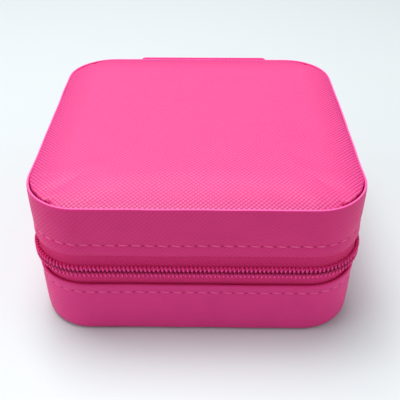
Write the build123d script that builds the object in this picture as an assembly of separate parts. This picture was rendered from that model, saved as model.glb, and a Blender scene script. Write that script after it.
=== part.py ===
"""Travel jewelry case: a padded, zipped box with a hinged lid and a lined, divided inside.

Frame: millimetres. The origin is the centre of the underside, +Z is up, -Y is the front
and the lid hinges at the back, +Y. The zipper slider is parked on the right side, +X.
"""
import os

from build123d import *

# ---------------------------------------------------------------- driving dimensions
CASE_WIDTH = 100.0          # across the covered walls, X
CASE_DEPTH = 100.0          # across the covered walls, Y
CORNER_RADIUS = 16.5        # outside of the covered walls
BASE_RIM_Z = 19.7           # top edge of the base's side cover
LID_RIM_Z = 31.4            # lower edge of the lid's side cover
LID_LIP_Z = 48.4            # top of the side cover's folded lip
CHAIN_Z = 25.5              # middle of the zipper chain, halfway between the two rims
FLOOR_CLEARANCE = 0.2       # the side cover ends above the panel that the case stands on

COVER_THICK = 1.0           # coated leathercloth with its turned edge
BOARD_THICK = 2.0           # stiff board of the two frames
PANEL_THICK = 1.9           # flat boards of the lid's top and the bottom
LINING_THICK = 1.0          # card with velvet on it
GLUE_GAP = 0.1              # room left between nested pieces

FOAM_THICK = 1.9            # sheet foam under the lid's top cover
RIM_SETBACK = 0.2           # a frame's rim stops short of its cover's edge

FRAME_INSET = 1.7           # outer face of the frame boards, in from the covers' outer face
LINING_INSET = FRAME_INSET + BOARD_THICK + GLUE_GAP
INSIDE_INSET = LINING_INSET + LINING_THICK
PANEL_INSET = COVER_THICK + 0.2             # leathercloth panels, inside the side covers
PADDING_INSET = FRAME_INSET + 0.5           # lid's top board and foam, inside its top cover

EASED_FOOT = 0.6            # rounding of the base cover's lower edge
EASED_LIP = 0.4             # rounding of the lid cover's folded lip
EASED_TOP = 0.9             # rounding of the padded top's edge

# Zipper, size 5 coil
TAPE_THICK = 0.5
TAPE_INSET = COVER_THICK + GLUE_GAP         # outer face of the tapes
TAPE_WIDTH = 11.6
TAPE_EDGE_GAP = 1.8                         # between the two tapes' inner edges
COIL_PROUD = 1.0                            # how far the chain stands out of the walls
COIL_ROW = 2.3                              # height of one row of the coil
COIL_GAP = 0.2                              # between the two rows
TAPE_TUCK = 8.0                             # length of tape that runs in under the strap

SLIDER_LENGTH = 11.5
SLIDER_Y = 27.0                             # middle of the parked slider
SLIDER_TRAVEL = 54.0
SLIDER_REAR_WIDTH = 7.8
SLIDER_SHOULDER_WIDTH = 9.6
SLIDER_PLATE = 1.2
SLIDER_FLANGE = 1.0                         # side walls between the two plates
CHAIN_ROOM = 0.3                            # between the chain and the slider's outer plate
PLATE_ROOM = 1.5                            # between the tapes and the slider's inner plate
POST_HALF = 0.65                            # half the height of the post between the plates
CROWN_HEIGHT = 2.3
CROWN_WINDOW = 1.5                          # height of the crown's window, for the pull's end bar
STOP_LENGTH = 2.4
STOP_HALF = 1.0                             # half the height of a top stop
STOP_PROUD = 0.6                            # how far a top stop stands out of the walls

PULL_LENGTH = 23.0
PULL_WIDTH = 6.0
PULL_THICK = 1.0

# Hinge at the back
STRAP_WIDTH = 51.0
STRAP_CENTRE_X = 1.5
STRAP_THICK = 1.15
STRAP_BOTTOM_Z = 1.5
STRAP_TOP_Z = 48.6
FOLD_GAP = 0.2

# Heights of the boards
BOTTOM_BOARD_Z = COVER_THICK + GLUE_GAP
BASE_FRAME_Z = BOTTOM_BOARD_Z + PANEL_THICK
BASE_LINING_Z = BASE_FRAME_Z + GLUE_GAP

# Inside of the base
FLOOR_Z = 4.2
COLLAR_TOP_Z = 30.5
PARTITION_X = -5.0
PARTITION_THICK = 2.0
PARTITION_TOP_Z = 22.0
DIVIDER_THICK = 2.0
DIVIDER_TOP_Z = 21.4
DIVIDER_Y = 14.0
GROOVE_WIDTH = 2.5
GROOVE_DEPTH = 1.0
ROLL_COUNT = 7
ROLL_TOP_Z = 20.0
ROLL_GAP = 0.3

# Inside of the lid
CEILING_Z = 42.4
CARD_THICK = 1.1            # ceiling card with its velvet
LID_BOARD_Z = CEILING_Z + 1.3
LID_FOAM_Z = LID_BOARD_Z + PANEL_THICK
LID_COVER_TOP_Z = LID_FOAM_Z + FOAM_THICK + COVER_THICK
TAB_WIDTH = 11.0
TAB_LENGTH = 16.0
TAB_THICK = 1.0
TAB_ROOT_Y = -36.2
TAB_X = (-25.0, 0.0, 25.0)
TAB_Z = 40.2                # lower face of a closed tab
TAB_STRIP_HALF = 36.0
TAB_STRIP_WIDTH = 6.0
TAB_STRIP_GAP = 0.5         # between the strip and the tabs' hinged ends
SNAP_Y = TAB_ROOT_Y + 10.0
SNAP_RADIUS = 4.6
SNAP_DOME = 1.2             # height of the cap under its tab
RIVET_RADIUS = 1.3
POCKET_HALF_WIDTH = 38.0
POCKET_MOUTH_Y = 8.0
POCKET_REAR_Y = 41.0
POCKET_Z = 39.6             # lower face of the pocket's cloth
POCKET_CLOTH = 0.8
POCKET_CORNER = 8.0
ELASTIC_WIDTH = 1.3
ELASTIC_DROP = 0.2          # how far the elastic hangs below the pocket's cloth
ELASTIC_TOP = 1.0

RIGHT_WALL = CASE_WIDTH / 2
BACK_WALL = CASE_DEPTH / 2
SPLIT = 2 * CASE_WIDTH      # larger than the case, for cutting blocks


# ---------------------------------------------------------------- helpers
def outline(inset):
    """The case's plan, drawn in by inset all round."""
    return RectangleRounded(CASE_WIDTH - 2 * inset, CASE_DEPTH - 2 * inset, CORNER_RADIUS - inset)


def block(inset, low, high):
    """A solid with the case's plan, between two heights."""
    return Pos(0, 0, low) * extrude(outline(inset), high - low)


def band(outer_inset, inner_inset, low, high):
    """A wall that runs all round the case."""
    ring = outline(outer_inset) - outline(inner_inset)
    return Pos(0, 0, low) * extrude(ring, high - low)


def brick(x_range, y_range, z_range):
    """A box given by its limits along each axis."""
    sizes = [high - low for low, high in (x_range, y_range, z_range)]
    centre = [(high + low) / 2 for low, high in (x_range, y_range, z_range)]
    return Pos(*centre) * Box(*sizes)


def disc(x, y, radius, low, high):
    """An upright cylinder between two heights."""
    return Pos(x, y, (low + high) / 2) * Cylinder(radius, high - low)


def edges_at(part, height):
    """The edges that lie level at one height."""
    return part.edges().filter_by_position(Axis.Z, height - 0.01, height + 0.01)


def save(part, name, colour):
    """Write one node."""
    part.label = name
    part.color = Color(*colour)
    export_step(part, f"parts/{name}.step")


# ---------------------------------------------------------------- base shell
def base_bottom_cover():
    """Leathercloth panel glued under the base: the face that the case stands on."""
    return block(PANEL_INSET, 0.0, COVER_THICK)


def base_bottom_board():
    """Flat stiff board that closes the base's frame from below."""
    return block(PANEL_INSET, BOTTOM_BOARD_Z, BOTTOM_BOARD_Z + PANEL_THICK)


def base_frame():
    """Loop of stiff board inside the base's side cover."""
    return band(FRAME_INSET, FRAME_INSET + BOARD_THICK, BASE_FRAME_Z, BASE_RIM_Z - RIM_SETBACK)


def base_side_cover():
    """Leathercloth band round the base, its lower edge eased and clear of the floor."""
    outside = block(0.0, FLOOR_CLEARANCE, BASE_RIM_Z)
    outside = fillet(edges_at(outside, FLOOR_CLEARANCE), EASED_FOOT)
    return outside - block(COVER_THICK, -1, LID_LIP_Z)


def base_lining():
    """Velvet tray whose wall stands above the base as a collar."""
    tray = block(LINING_INSET, BASE_LINING_Z, COLLAR_TOP_Z)
    return tray - block(INSIDE_INSET, FLOOR_Z, COLLAR_TOP_Z + 1)


# ---------------------------------------------------------------- inside of the base
def partition():
    """Fixed wall between the ring rolls and the compartments, grooved for the dividers."""
    half = BACK_WALL - INSIDE_INSET - GLUE_GAP
    side = PARTITION_X + PARTITION_THICK / 2
    wall = brick((PARTITION_X - PARTITION_THICK / 2, side), (-half, half), (FLOOR_Z, PARTITION_TOP_Z))
    return wall - grooves(side - GROOVE_DEPTH, side + 1)


def grooves(x_low, x_high):
    """Cutters for the two upright grooves that hold the dividers' ends."""
    cuts = []
    for y in (-DIVIDER_Y, DIVIDER_Y):
        y_range = (y - GROOVE_WIDTH / 2, y + GROOVE_WIDTH / 2)
        cuts.append(brick((x_low, x_high), y_range, (FLOOR_Z - 1, PARTITION_TOP_Z + 1)))
    return cuts


def slotted_strip():
    """Velvet-covered strip on the right wall, with the dividers' other two grooves."""
    outer = RIGHT_WALL - INSIDE_INSET - GLUE_GAP
    inner = outer - PARTITION_THICK
    strip = brick((inner, outer), (-2 * DIVIDER_Y, 2 * DIVIDER_Y), (FLOOR_Z, PARTITION_TOP_Z))
    return strip - grooves(inner - 1, inner + GROOVE_DEPTH)


def divider(y):
    """Lift-out divider with a finger scallop in its top edge."""
    low_x = PARTITION_X + PARTITION_THICK / 2 - GROOVE_DEPTH + 0.2
    high_x = RIGHT_WALL - INSIDE_INSET - GLUE_GAP - PARTITION_THICK + GROOVE_DEPTH - 0.2
    y_range = (y - DIVIDER_THICK / 2, y + DIVIDER_THICK / 2)
    wall = brick((low_x, high_x), y_range, (FLOOR_Z + GLUE_GAP, DIVIDER_TOP_Z))
    scallop = Pos((low_x + high_x) / 2, y, DIVIDER_TOP_Z + 5) * Rot(90, 0, 0) * Cylinder(9, 10)
    return wall - scallop


def ring_roll(number):
    """One velvet-covered foam roll; rings stand in the slits between the rolls."""
    inside = BACK_WALL - INSIDE_INSET - GLUE_GAP
    pitch = 2 * inside / ROLL_COUNT
    width = pitch - ROLL_GAP
    y = -inside + pitch * (number - 0.5)
    x_range = (-inside, PARTITION_X - PARTITION_THICK / 2 - ROLL_GAP)
    top = Pos((x_range[0] + x_range[1]) / 2, y, ROLL_TOP_Z - width / 2)
    crown = top * Rot(0, 90, 0) * Cylinder(width / 2, x_range[1] - x_range[0])
    foot = brick(x_range, (y - width / 2, y + width / 2), (FLOOR_Z, ROLL_TOP_Z - width / 2))
    return (crown + foot) & block(INSIDE_INSET + 0.3, FLOOR_Z, ROLL_TOP_Z)


# ---------------------------------------------------------------- lid shell
def lid_frame():
    """Loop of stiff board inside the lid's side cover."""
    return band(FRAME_INSET, FRAME_INSET + BOARD_THICK, LID_RIM_Z + RIM_SETBACK, LID_BOARD_Z - GLUE_GAP)


def lid_side_cover():
    """Leathercloth band round the lid; its folded top edge stands up as a thin lip."""
    outside = block(0.0, LID_RIM_Z, LID_LIP_Z)
    outside = fillet(edges_at(outside, LID_LIP_Z), EASED_LIP)
    return outside - block(COVER_THICK, -1, LID_LIP_Z + 1)


def lid_top_board():
    """Flat stiff board on the lid's frame."""
    return block(PADDING_INSET, LID_BOARD_Z, LID_BOARD_Z + PANEL_THICK)


def lid_foam_pad():
    """Sheet of foam on the board, which gives the padded top."""
    return block(PADDING_INSET, LID_FOAM_Z, LID_FOAM_Z + FOAM_THICK)


def lid_top_cover():
    """Leathercloth drawn over the foam and down the board's edge, sunk inside the lip."""
    skin = block(PANEL_INSET, LID_BOARD_Z, LID_COVER_TOP_Z)
    skin = fillet(edges_at(skin, LID_COVER_TOP_Z), EASED_TOP)
    under_skin = LID_COVER_TOP_Z - COVER_THICK + GLUE_GAP / 2
    return skin - block(PADDING_INSET - GLUE_GAP, LID_BOARD_Z - 1, under_skin)


def lid_lining():
    """Velvet ceiling and walls of the lid."""
    cup = block(LINING_INSET, LID_RIM_Z + RIM_SETBACK + GLUE_GAP, CEILING_Z + CARD_THICK)
    return cup - block(INSIDE_INSET, LID_RIM_Z - 1, CEILING_Z)


# ---------------------------------------------------------------- inside of the lid
def tab_strip():
    """Strip sewn to the ceiling, which the necklace tabs hang from."""
    rear_y = TAB_ROOT_Y - TAB_STRIP_GAP
    x_range = (-TAB_STRIP_HALF, TAB_STRIP_HALF)
    return brick(x_range, (rear_y - TAB_STRIP_WIDTH, rear_y), (CEILING_Z - CARD_THICK, CEILING_Z))


def necklace_tab(x):
    """Tab with a round end, closed against the ceiling by its snap."""
    straight = TAB_LENGTH - TAB_WIDTH / 2
    y_range = (TAB_ROOT_Y, TAB_ROOT_Y + straight)
    z_range = (TAB_Z, TAB_Z + TAB_THICK)
    tab = brick((x - TAB_WIDTH / 2, x + TAB_WIDTH / 2), y_range, z_range)
    tab += disc(x, y_range[1], TAB_WIDTH / 2, *z_range)
    return tab - disc(x, SNAP_Y, RIVET_RADIUS + GLUE_GAP, TAB_Z - 1, TAB_Z + TAB_THICK + 1)


def snap_cap(x):
    """Domed cap on the tab with its rivet through the cloth."""
    cap = disc(x, SNAP_Y, SNAP_RADIUS, TAB_Z - SNAP_DOME, TAB_Z)
    cap = fillet(edges_at(cap, TAB_Z - SNAP_DOME), SNAP_DOME * 2 / 3)
    return cap + disc(x, SNAP_Y, RIVET_RADIUS, TAB_Z, TAB_Z + TAB_THICK)


def snap_stud(x):
    """Stud on the lid's ceiling that the tab snaps on to."""
    flange = disc(x, SNAP_Y, 3.8, CEILING_Z - 0.6, CEILING_Z)
    return flange + disc(x, SNAP_Y, 1.6, CEILING_Z - CARD_THICK, CEILING_Z)


def lid_pocket():
    """Cloth pouch on the ceiling, open towards the front."""
    half = POCKET_HALF_WIDTH
    pouch = brick((-half, half), (POCKET_MOUTH_Y, POCKET_REAR_Y), (POCKET_Z, CEILING_Z))
    pouch = fillet(pouch.edges().filter_by(Axis.Z).group_by(Axis.Y)[-1], POCKET_CORNER)
    hollow = brick(
        (-half + POCKET_CLOTH, half - POCKET_CLOTH),
        (POCKET_MOUTH_Y - 1, POCKET_REAR_Y - POCKET_CLOTH),
        (POCKET_Z + POCKET_CLOTH, CEILING_Z + 1),
    )
    hollow = fillet(hollow.edges().filter_by(Axis.Z).group_by(Axis.Y)[-1], POCKET_CORNER - POCKET_CLOTH)
    return pouch - hollow


def pocket_elastic():
    """Elastic band cased in the pocket's mouth."""
    x_range = (-POCKET_HALF_WIDTH, POCKET_HALF_WIDTH)
    y_range = (POCKET_MOUTH_Y - ELASTIC_WIDTH, POCKET_MOUTH_Y)
    return brick(x_range, y_range, (POCKET_Z - ELASTIC_DROP, POCKET_Z + ELASTIC_TOP))


# ---------------------------------------------------------------- zipper
def zipper_tape(side):
    """Half of the tape: side is -1 for the base's half and 1 for the lid's."""
    inner = CHAIN_Z + side * TAPE_EDGE_GAP / 2
    low, high = sorted((inner, inner + side * TAPE_WIDTH))
    tape = band(TAPE_INSET, TAPE_INSET + TAPE_THICK, low, high)
    left = STRAP_CENTRE_X - STRAP_WIDTH / 2 + TAPE_TUCK
    right = STRAP_CENTRE_X + STRAP_WIDTH / 2 - TAPE_TUCK
    return tape - brick((left, right), (0, SPLIT), (low - 1, high + 1))


def zipper_coil(side):
    """One row of the coil as a plain bar, from the parked slider's mouth to the strap."""
    inner = CHAIN_Z + side * COIL_GAP / 2
    low, high = sorted((inner, inner + side * COIL_ROW))
    row = band(-COIL_PROUD, TAPE_INSET - 0.05, low, high)
    start_y = SLIDER_Y - SLIDER_LENGTH / 2 - 0.4
    end_x = STRAP_CENTRE_X - STRAP_WIDTH / 2 - 1.5
    row -= brick((0, SPLIT), (start_y, SPLIT), (low - 1, high + 1))
    return row - brick((end_x, SPLIT), (0, SPLIT), (low - 1, high + 1))


def top_stop(side):
    """Crimped stop that the slider's shoulder meets at the closed end."""
    middle = CHAIN_Z + side * (COIL_GAP / 2 + COIL_ROW / 2)
    y_low = SLIDER_Y + SLIDER_LENGTH / 2 + CHAIN_ROOM
    x_range = (RIGHT_WALL - TAPE_INSET, RIGHT_WALL + STOP_PROUD)
    stop = brick(x_range, (y_low, y_low + STOP_LENGTH), (middle - STOP_HALF, middle + STOP_HALF))
    return stop & band(-STOP_PROUD, TAPE_INSET, 0, LID_LIP_Z)


def slider_body():
    """Die-cast slider: two plates, a post between them, side flanges and a crown."""
    rear_y = SLIDER_Y - SLIDER_LENGTH / 2
    front_y = SLIDER_Y + SLIDER_LENGTH / 2
    shoulder_y = SLIDER_Y + 1.0
    rear = SLIDER_REAR_WIDTH / 2
    shoulder = SLIDER_SHOULDER_WIDTH / 2
    plan = [
        (rear_y, -rear),
        (rear_y, rear),
        (shoulder_y, shoulder),
        (front_y - 1.5, shoulder),
        (front_y, shoulder - 1.8),
        (front_y, -shoulder + 1.8),
        (front_y - 1.5, -shoulder),
        (shoulder_y, -shoulder),
    ]
    face = Plane(origin=(0, 0, CHAIN_Z), x_dir=(0, 1, 0), z_dir=(1, 0, 0))

    def plate(points, x_low, x_high):
        return Pos(x_low, 0, 0) * extrude(face * make_face(Polyline(*points, close=True)), x_high - x_low)

    inner_low = RIGHT_WALL - TAPE_INSET - TAPE_THICK - PLATE_ROOM
    inner_high = inner_low + SLIDER_PLATE
    outer_low = RIGHT_WALL + COIL_PROUD + CHAIN_ROOM
    outer_high = outer_low + SLIDER_PLATE
    body = plate(plan, inner_low, inner_high) + plate(plan, outer_low, outer_high)
    channel = [
        (rear_y - 1, -rear + SLIDER_FLANGE),
        (rear_y - 1, rear - SLIDER_FLANGE),
        (shoulder_y, shoulder - SLIDER_FLANGE),
        (front_y + 1, shoulder - SLIDER_FLANGE),
        (front_y + 1, -shoulder + SLIDER_FLANGE),
        (shoulder_y, -shoulder + SLIDER_FLANGE),
    ]
    flange_low = RIGHT_WALL - TAPE_INSET + CHAIN_ROOM
    body += plate(plan, flange_low, outer_low) - plate(channel, flange_low - 1, outer_low + 1)
    post_y = front_y - 2.2
    post_z = (CHAIN_Z - POST_HALF, CHAIN_Z + POST_HALF)
    body += brick((inner_high, outer_low), (post_y - 2.0, post_y + 1.6), post_z)
    crown_x = (outer_high, outer_high + CROWN_HEIGHT)
    crown = brick(crown_x, (SLIDER_Y - 4.5, SLIDER_Y + 0.7), (CHAIN_Z - 1, CHAIN_Z + 1))
    crown = fillet(crown.edges().filter_by(Axis.Z).group_by(Axis.X)[-1], 1.0)
    window_x = (outer_high, outer_high + CROWN_WINDOW)
    return body + (crown - brick(window_x, (SLIDER_Y - 3.6, SLIDER_Y - 0.2), (0, SPLIT)))


def pull_tab():
    """Pull with a window at its root; the window's end bar turns under the slider's crown."""
    low_x = RIGHT_WALL + COIL_PROUD + CHAIN_ROOM + SLIDER_PLATE + 0.25
    x_range = (low_x, low_x + PULL_THICK)
    root_y = SLIDER_Y - 2.4
    z_range = (CHAIN_Z - PULL_WIDTH / 2, CHAIN_Z + PULL_WIDTH / 2)
    tab = brick(x_range, (root_y + 0.5 - PULL_LENGTH, root_y + 0.5), z_range)
    tab = fillet(tab.edges().filter_by(Axis.X).group_by(Axis.Y)[0], 2.4)
    tab -= brick((0, SPLIT), (root_y - 5.4, root_y - 0.5), (CHAIN_Z - 1.5, CHAIN_Z + 1.5))
    hole = Pos(x_range[0], root_y - PULL_LENGTH + 4.0, CHAIN_Z) * Rot(0, 90, 0) * Cylinder(1.3, 6)
    return tab - hole


# ---------------------------------------------------------------- hinge
def hinge_strap(side):
    """Half of the leathercloth strap over the back: side is -1 below the fold, 1 above."""
    fold = CHAIN_Z + side * FOLD_GAP / 2
    low, high = sorted((fold, STRAP_BOTTOM_Z if side < 0 else STRAP_TOP_Z))
    x_range = (STRAP_CENTRE_X - STRAP_WIDTH / 2, STRAP_CENTRE_X + STRAP_WIDTH / 2)
    strap = brick(x_range, (BACK_WALL + 0.05, BACK_WALL + 0.05 + STRAP_THICK), (low, high))
    corners = strap.edges().filter_by(Axis.Y).group_by(Axis.Z)
    return fillet(corners[0] if side < 0 else corners[-1], 2.0)


def hinge_lining(side):
    """Half of the cloth strip inside the fold, between the two rims."""
    fold = CHAIN_Z + side * FOLD_GAP / 2
    low, high = sorted((fold, BASE_RIM_Z + 0.1 if side < 0 else LID_RIM_Z - 0.1))
    half = STRAP_WIDTH / 2 - TAPE_TUCK - 0.5
    x_range = (STRAP_CENTRE_X - half, STRAP_CENTRE_X + half)
    return brick(x_range, (BACK_WALL - 1.5, BACK_WALL - 0.5), (low, high))


# ---------------------------------------------------------------- write every node
PINK = (0.85, 0.1, 0.4)
TAPE = (0.7, 0.05, 0.25)
BOARD = (0.6, 0.55, 0.45)
FOAM = (0.95, 0.95, 0.9)
VELVET = (0.8, 0.45, 0.55)
METAL = (0.8, 0.75, 0.7)


def main():
    os.makedirs("parts", exist_ok=True)
    save(base_bottom_cover(), "base_bottom_cover", PINK)
    save(base_bottom_board(), "base_bottom_board", BOARD)
    save(base_frame(), "base_frame", BOARD)
    save(base_side_cover(), "base_side_cover", PINK)
    save(base_lining(), "base_lining", VELVET)
    save(partition(), "partition", VELVET)
    save(slotted_strip(), "slotted_strip", VELVET)
    save(divider(-DIVIDER_Y), "front_divider", VELVET)
    save(divider(DIVIDER_Y), "rear_divider", VELVET)
    for number in range(1, ROLL_COUNT + 1):
        save(ring_roll(number), f"ring_roll_{number}", VELVET)
    save(lid_frame(), "lid_frame", BOARD)
    save(lid_side_cover(), "lid_side_cover", PINK)
    save(lid_top_board(), "lid_top_board", BOARD)
    save(lid_foam_pad(), "lid_foam_pad", FOAM)
    save(lid_top_cover(), "lid_top_cover", PINK)
    save(lid_lining(), "lid_lining", VELVET)
    save(tab_strip(), "tab_strip", VELVET)
    for number, x in enumerate(TAB_X, start=1):
        save(necklace_tab(x), f"necklace_tab_{number}", VELVET)
        save(snap_cap(x), f"snap_cap_{number}", METAL)
        save(snap_stud(x), f"snap_stud_{number}", METAL)
    save(lid_pocket(), "lid_pocket", VELVET)
    save(pocket_elastic(), "pocket_elastic", VELVET)
    for side, half in ((-1, "lower"), (1, "upper")):
        save(zipper_tape(side), f"{half}_zipper_tape", TAPE)
        save(zipper_coil(side), f"{half}_zipper_coil", TAPE)
        save(top_stop(side), f"{half}_top_stop", METAL)
        save(hinge_strap(side), f"{half}_hinge_strap", PINK)
        save(hinge_lining(side), f"{half}_hinge_lining", VELVET)
    save(slider_body(), "slider_body", METAL)
    save(pull_tab(), "pull_tab", METAL)


main()
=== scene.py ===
# %% [markdown]
# # A travel jewelry case, piece by piece
# A small square case: two board trays wrapped in pink cross-grain leathercloth, a coil zipper
# round three sides and a strap hinge at the back. Inside are velvet rolls for rings, three
# compartments, and a lid with snap tabs and a pouch for necklaces.
#
# The engineering model comes first, as a fixed frame. Its boxes give the places and heights
# that are used below. Soft parts are then made again in detail and ride on it.

# %% The fixed frame
import math
import random

import bmesh
import bpy
from mathutils import Matrix, Vector, noise
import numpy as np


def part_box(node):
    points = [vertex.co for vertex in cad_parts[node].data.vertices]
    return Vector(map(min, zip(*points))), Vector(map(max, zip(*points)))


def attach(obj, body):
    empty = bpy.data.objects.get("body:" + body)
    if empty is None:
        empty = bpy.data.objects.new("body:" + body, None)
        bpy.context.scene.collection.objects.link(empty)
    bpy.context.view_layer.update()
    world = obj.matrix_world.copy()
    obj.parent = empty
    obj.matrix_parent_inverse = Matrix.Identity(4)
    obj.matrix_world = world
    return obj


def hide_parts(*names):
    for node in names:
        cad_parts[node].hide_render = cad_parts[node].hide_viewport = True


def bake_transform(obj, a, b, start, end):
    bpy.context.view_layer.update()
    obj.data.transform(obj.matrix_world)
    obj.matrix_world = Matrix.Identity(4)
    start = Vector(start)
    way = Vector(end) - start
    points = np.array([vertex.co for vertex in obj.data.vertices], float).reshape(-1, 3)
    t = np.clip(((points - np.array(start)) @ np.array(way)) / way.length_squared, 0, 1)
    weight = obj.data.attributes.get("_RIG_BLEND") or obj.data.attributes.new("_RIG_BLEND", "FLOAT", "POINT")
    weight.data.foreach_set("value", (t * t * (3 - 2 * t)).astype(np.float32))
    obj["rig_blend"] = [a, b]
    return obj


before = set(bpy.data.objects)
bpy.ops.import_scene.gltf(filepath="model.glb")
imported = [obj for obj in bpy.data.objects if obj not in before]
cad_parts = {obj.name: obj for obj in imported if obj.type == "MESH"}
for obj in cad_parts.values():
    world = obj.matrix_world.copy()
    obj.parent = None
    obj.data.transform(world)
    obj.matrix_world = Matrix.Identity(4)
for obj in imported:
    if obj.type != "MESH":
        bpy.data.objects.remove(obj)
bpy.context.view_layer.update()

# %% [markdown]
# ## Sizes that come from the frame
# One short table of the heights and faces that the pieces share. Nearly all are read from the
# node they belong to, so a change to the frame moves every piece that depends on it.

# %% Heights and faces
MM = 0.001
band_low, band_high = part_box("lid_side_cover")
base_low, base_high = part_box("base_side_cover")
coil_low, coil_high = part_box("upper_zipper_coil")
tape_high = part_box("upper_zipper_tape")[1]
strap_low, strap_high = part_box("upper_hinge_strap")

HALF = band_high.x                      # outer face of the walls, from the middle
CORNER = 16.5 * MM                      # radius of the walls' corners
CORE = HALF - CORNER                    # half of each straight wall
QUARTER = CORNER * math.pi / 2
SIDE = 2 * CORE + QUARTER               # one straight wall and one corner
ROUND = 4 * SIDE                        # once round the case
CHAIN_Z = (coil_low.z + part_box("lower_zipper_coil")[1].z) / 2
LID_STITCH_Z = band_low.z + 4.0 * MM
BASE_STITCH_Z = base_high.z - 3.1 * MM
STITCH_PITCH = ROUND / 98               # a whole number of stitches goes round
round_mm, pitch_mm = round(ROUND / MM, 1), round(STITCH_PITCH / MM, 2)
print("once round the case:", round_mm, "mm; stitches", pitch_mm, "mm apart")

# %% [markdown]
# ## The camera, the table and the light
# The camera stands 13 cm in front of the case and looks down on it, so the lid's top,
# the zipped front and a little of both corners show. A large soft lamp above and behind makes
# the top bright and leaves the front in its own shade, as window light does.

# %% Camera
camera_data = bpy.data.cameras.new("camera")
camera_data.lens = 55.1
camera_data.sensor_width = 36.0
camera = bpy.data.objects.new("camera", camera_data)
camera.location = (0.0027, -0.1824, 0.1508)
camera.rotation_euler = (math.radians(53.25), 0, math.radians(0.65))
bpy.context.scene.collection.objects.link(camera)
bpy.context.scene.camera = camera
bpy.context.scene.view_settings.view_transform = "Standard"


# %% Colours and one node at a time
def colour(hex_code):
    """An sRGB hex colour as the linear numbers that shaders use."""
    channels = [int(hex_code[i:i + 2], 16) / 255 for i in (0, 2, 4)]
    linear = [c / 12.92 if c <= 0.04045 else ((c + 0.055) / 1.055) ** 2.4 for c in channels]
    return (*linear, 1.0)


def add(material, kind, settings=None, **links):
    """Add one node: its settings by name, and its inputs as numbers, colours or other outputs."""
    tree = material.node_tree
    node = tree.nodes.new(kind)
    for key, value in (settings or {}).items():
        setattr(node, key, value)
    for key, value in links.items():
        name = key.replace("_", " ").strip()
        by_number = name[0] == "i" and name[1:].isdigit()
        socket = node.inputs[int(name[1:])] if by_number else node.inputs[name]
        if isinstance(value, bpy.types.NodeSocket):
            tree.links.new(value, socket)
        else:
            socket.default_value = value
    return node


def new_material(name):
    """A material with a surface shader, ready for a finish."""
    material = bpy.data.materials.new(name)
    material.use_nodes = True
    return material


def maths(material, operation, first, second=0.0, third=0.0):
    """One sum on up to three values."""
    kind = {"operation": operation}
    return add(material, "ShaderNodeMath", kind, i0=first, i1=second, i2=third).outputs[0]


def ramp(material, share, low_colour, high_colour, start=0.0, end=1.0):
    """A colour that runs between two tones as a share goes from start to end."""
    shade = add(material, "ShaderNodeValToRGB", Fac=share)
    low, high = shade.color_ramp.elements
    low.position, high.position = start, end
    low.color, high.color = colour(low_colour), colour(high_colour)
    return shade


def tinted(material, share, tone, hex_code):
    """A colour that turns to another by a share from 0 to 1."""
    blend = {"data_type": "RGBA"}
    mixer = add(material, "ShaderNodeMix", blend, i0=share, i6=tone, i7=colour(hex_code))
    return mixer.outputs[2]


def dress(material, links, settings):
    """Join outputs to the surface shader's sockets, and set its other sockets to plain values."""
    sockets = material.node_tree.nodes["Principled BSDF"].inputs
    for name, output in links.items():
        material.node_tree.links.new(output, sockets[name])
    for name, value in settings.items():
        sockets[name].default_value = value
    return material


# %% Table and light
def area_light(name, place, aim, size, power, tint):
    """A square soft box that looks at one point."""
    data = bpy.data.lights.new(name, "AREA")
    data.size = size
    data.energy = power
    data.color = colour(tint)[:3]
    lamp = bpy.data.objects.new(name, data)
    lamp.location = place
    lamp.rotation_euler = (Vector(aim) - Vector(place)).to_track_quat("-Z", "Y").to_euler()
    bpy.context.scene.collection.objects.link(lamp)


table_mesh = bmesh.new()
bmesh.ops.create_grid(table_mesh, x_segments=1, y_segments=1, size=3.0)
table_data = bpy.data.meshes.new("table")
table_mesh.to_mesh(table_data)
table_mesh.free()
table = bpy.data.objects.new("table", table_data)
bpy.context.scene.collection.objects.link(table)
table_finish = {"Base Color": colour("c8cfd0"), "Roughness": 0.45}
table_data.materials.append(dress(new_material("white_table_top"), {}, table_finish))

world = bpy.data.worlds.new("room")
world.use_nodes = True
world.node_tree.nodes["Background"].inputs["Color"].default_value = colour("eef2f6")
world.node_tree.nodes["Background"].inputs["Strength"].default_value = 0.5
bpy.context.scene.world = world
case_middle = (0, 0, 0.02)
area_light("window", (-0.12, 0.12, 0.82), case_middle, 0.45, 7.7, "ffffff")
area_light("left_wall", (-0.7, -0.15, 0.3), case_middle, 0.5, 1.5, "fff6fa")
area_light("right_wall", (0.7, -0.15, 0.3), case_middle, 0.5, 1.1, "fff6fa")


# %% [markdown]
# ## Going round the wall
# The bands, tapes and coils all run round the same rounded square. One function gives the place
# and direction at any distance round it, and another draws a cross-section along it: Blender's
# extrude makes each new ring, and the ring is turned to its place.

# %% Places round the wall
def wall_frame(run):
    """Place at a distance round the wall from the back's middle: X along, Y outwards, Z up."""
    wall, along = divmod(run + CORE, SIDE)
    corner_turn = max(along - 2 * CORE, 0.0) / CORNER
    core = Vector((min(along, 2 * CORE) - CORE, CORE, 0))
    turn = Matrix.Rotation(-wall * math.pi / 2, 4, "Z")
    bend = Matrix.Rotation(-corner_turn, 4, "Z")
    return turn @ Matrix.Translation(core) @ bend @ Matrix.Translation((0, CORNER, 0))


def stops_between(start, end, step):
    """Even stations from start to end, about step apart."""
    count = max(1, round((end - start) / step))
    return [start + (end - start) * i / count for i in range(count + 1)]


# %% [markdown]
# Every shape here is a mesh that has to become a named piece on a moving body. The second
# function draws a profile along the wall ring by ring, and the third closes it into a band.

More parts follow.
